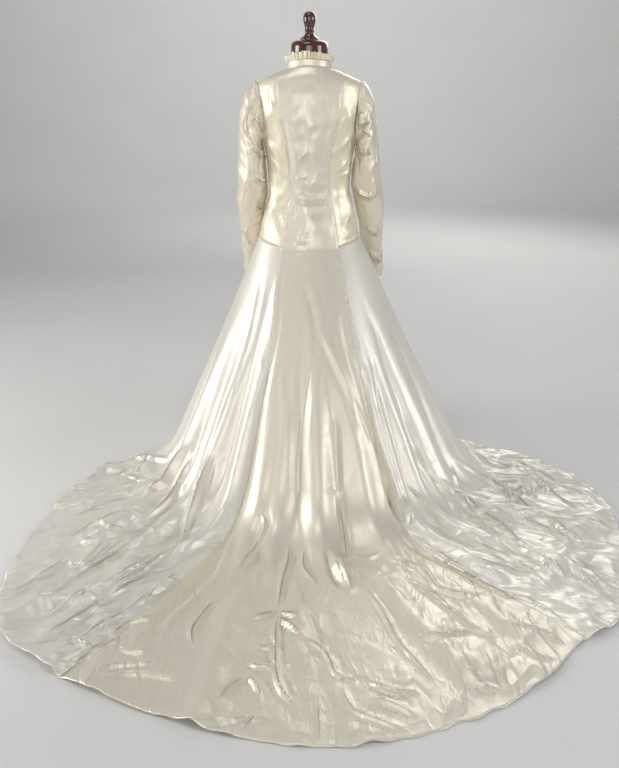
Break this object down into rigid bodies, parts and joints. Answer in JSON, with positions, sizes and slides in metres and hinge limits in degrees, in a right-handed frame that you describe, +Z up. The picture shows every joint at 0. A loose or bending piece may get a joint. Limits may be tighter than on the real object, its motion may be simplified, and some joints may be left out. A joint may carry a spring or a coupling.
{
  "type": "wedding dress on a dress form",
  "caption": "Long-sleeved ivory satin wedding dress with a frilled stand collar and a chapel train, shown on a limbless dress form.",
  "frame": {"origin": "on the floor under the axis of the dress form, in the middle of the stand base's underside", "axes": "+Z up; the dress faces -Y and its train runs towards +Y; +X is the wearer's left"},
  "size_m": [1.9461, 1.9454, 1.5815],
  "materials": {
    "satin_centre": "heavy ivory satin, satin side out",
    "satin_side": "heavy ivory satin, lighter along this grain",
    "satin_bodice": "heavy ivory satin",
    "satin_sleeve": "heavy cream satin with soft creases",
    "form_cloth": "plain linen cover over a hard form",
    "mahogany": "dark glossy varnish",
    "iron": "black enamel"
  },
  "bodies": {
    "root": {"button_01": "satin_bodice", "button_02": "satin_bodice", "button_03": "satin_bodice", "button_04": "satin_bodice", "button_05": "satin_bodice", "button_06": "satin_bodice", "button_07": "satin_bodice", "button_08": "satin_bodice", "button_09": "satin_bodice", "button_10": "satin_bodice", "button_11": "satin_bodice", "button_12": "satin_bodice", "centre_back": "satin_centre", "centre_front_left": "satin_centre", "centre_front_right": "satin_centre", "collar_band": "satin_bodice", "collar_frill": "satin_bodice", "finial": "mahogany", "form_body": "form_cloth", "neck_cap": "mahogany", "side_back_left": "satin_bodice", "side_back_right": "satin_bodice", "side_front_left": "satin_bodice", "side_front_right": "satin_bodice", "skirt_back_left": "satin_side", "skirt_back_right": "satin_side", "skirt_front_left": "satin_side", "skirt_front_right": "satin_side", "sleeve_left": "satin_sleeve", "sleeve_right": "satin_sleeve", "stand_base": "mahogany", "stand_pole": "iron"}
  },
  "joints": []
}
